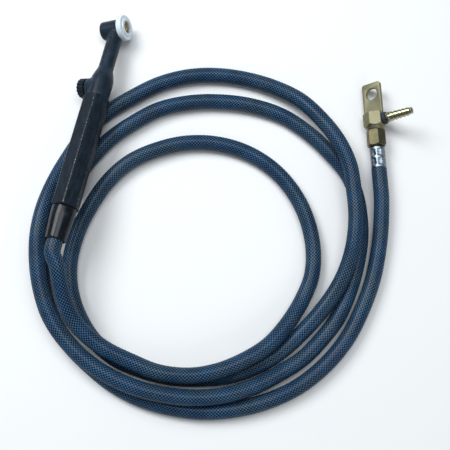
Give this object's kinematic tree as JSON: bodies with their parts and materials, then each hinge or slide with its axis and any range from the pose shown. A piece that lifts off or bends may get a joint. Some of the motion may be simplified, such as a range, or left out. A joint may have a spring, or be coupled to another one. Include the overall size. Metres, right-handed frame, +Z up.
{
  "type": "welding torch",
  "caption": "Hand-held gas-shielded arc welding torch with a valve knob in its head, a coiled braided gas hose and a brass lug connector with a side barb.",
  "frame": {"origin": "on the floor, under the middle of the torch's own box, the hose and connector left out", "axes": "+Y along the torch from its rear sleeve to its head, +Z up, +X towards the coiled hose"},
  "size_m": [0.2927, 0.3259, 0.0485],
  "materials": {
    "body_rubber": "satin",
    "handle_plastic": "matte",
    "sleeve_plastic": "gloss",
    "knob_plastic": "satin",
    "white_ptfe": "satin",
    "brass": "satin",
    "copper": "satin",
    "silver_metal": "satin",
    "steel": "satin",
    "hose_braid": "braided",
    "seal_rubber": "matte",
    "seal_blue_grey": "matte"
  },
  "bodies": {
    "torch": {"torch_body": "body_rubber", "gasket": "white_ptfe", "head_core": "brass", "neck_tube": "copper", "valve_block": "brass", "valve_seat": "white_ptfe", "valve_packing": "seal_rubber", "gland_nut": "brass", "handle": "handle_plastic", "rear_sleeve": "sleeve_plastic", "torch_tail": "brass", "tail_nut": "brass", "torch_ferrule": "silver_metal", "held_hose": "hose_braid", "hose": "hose_braid", "power_cable": "copper", "ferrule": "silver_metal", "machine_spigot": "brass", "union_nut": "brass", "lug_block": "brass", "barb_seal": "seal_blue_grey", "gas_barb": "brass"},
    "spindle": {"valve_needle": "brass"},
    "knob": {"valve_knob": "knob_plastic", "knob_screw": "steel"}
  },
  "joints": [
    {"name": "spindle_lift", "type": "slide", "parent": "torch", "child": "spindle", "axis": [-0.9135, -0.0559, -0.4029], "range_m": [0, 0.0015]},
    {"name": "knob_turn", "type": "hinge", "parent": "spindle", "child": "knob", "pos_m": [0.004, 0.03387, 0.02122], "axis": [-0.9135, -0.0559, -0.4029], "range_deg": [0, 720]}
  ],
  "couplings": [
    {"joint": "knob_turn", "follows": "spindle_lift", "rad_per_m": 8377.6}
  ]
}
